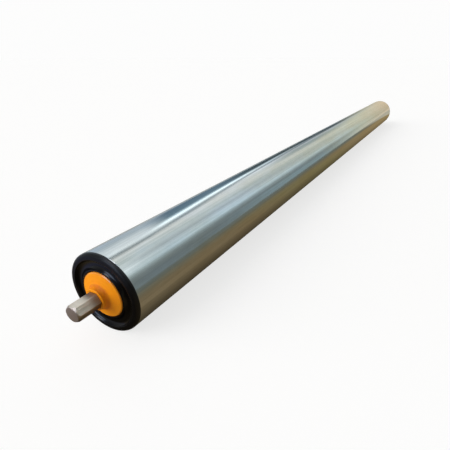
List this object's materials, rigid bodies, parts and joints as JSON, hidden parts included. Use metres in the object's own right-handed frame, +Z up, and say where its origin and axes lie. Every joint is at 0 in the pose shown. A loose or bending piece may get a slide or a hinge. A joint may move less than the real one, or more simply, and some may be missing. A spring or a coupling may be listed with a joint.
{
  "type": "conveyor roller",
  "caption": "Gravity conveyor roller: a zinc-plated steel tube on two ball bearings, with moulded end caps, seal covers and a spring-loaded hexagonal axle.",
  "frame": {"origin": "on the axle's axis, halfway between the ends of the tube", "axes": "+Y along the axle, from the near end (the one the picture shows) to the far end; +Z up, square to the axle's top flat; +X across the roller, through a corner of the hexagon"},
  "size_m": [0.06, 1.038, 0.06],
  "materials": {
    "zinc_tube": "bright zinc plate over drawn tube, fine lengthwise streaks",
    "axle_steel": "bright drawn hexagonal bar",
    "black_housing": "moulded polyamide, satin rim and glossy cove",
    "orange_seal": "moulded polypropylene, satin",
    "grey_bush": "moulded polyamide",
    "bearing_steel": "ground bearing steel",
    "cage_plastic": "natural polyamide",
    "polished_balls": "polished bearing balls",
    "bearing_shield": "pressed sheet steel",
    "zinc_washer": "zinc plate",
    "spring_steel": "drawn spring wire and strip, light oil"
  },
  "bodies": {
    "axle": {"axle": "axle_steel", "stop_washer": "zinc_washer", "stop_pin": "spring_steel", "return_spring": "spring_steel", "spring_washer": "zinc_washer", "spring_pin": "spring_steel"},
    "hub": {"near_seal_cover": "orange_seal", "near_axle_bush": "grey_bush", "near_inner_ring": "bearing_steel", "far_seal_cover": "orange_seal", "far_axle_bush": "grey_bush", "far_inner_ring": "bearing_steel"},
    "shell": {"tube": "zinc_tube", "near_end_cap": "black_housing", "near_outer_ring": "bearing_steel", "near_front_shield": "bearing_shield", "near_back_shield": "bearing_shield", "far_end_cap": "black_housing", "far_outer_ring": "bearing_steel", "far_front_shield": "bearing_shield", "far_back_shield": "bearing_shield"},
    "near_ball_set": {"near_ball_cage": "cage_plastic", "near_balls": "polished_balls"},
    "far_ball_set": {"far_ball_cage": "cage_plastic", "far_balls": "polished_balls"}
  },
  "joints": [
    {"name": "axle_push", "type": "slide", "parent": "axle", "child": "hub", "axis": [0, -1, 0], "range_m": [0, 0.015], "stiffness_N_per_m": 1600, "springref_m": -0.025, "deforming": ["return_spring"]},
    {"name": "roller_spin", "type": "hinge", "parent": "hub", "child": "shell", "pos_m": [0, 0, 0], "axis": [0, 1, 0], "continuous": true},
    {"name": "near_ball_orbit", "type": "hinge", "parent": "hub", "child": "near_ball_set", "pos_m": [0, -0.4825, 0], "axis": [0, 1, 0], "continuous": true},
    {"name": "far_ball_orbit", "type": "hinge", "parent": "hub", "child": "far_ball_set", "pos_m": [0, 0.4825, 0], "axis": [0, 1, 0], "continuous": true}
  ],
  "couplings": [
    {"joint": "near_ball_orbit", "follows": "roller_spin", "ratio": 0.6013},
    {"joint": "far_ball_orbit", "follows": "roller_spin", "ratio": 0.6013}
  ]
}
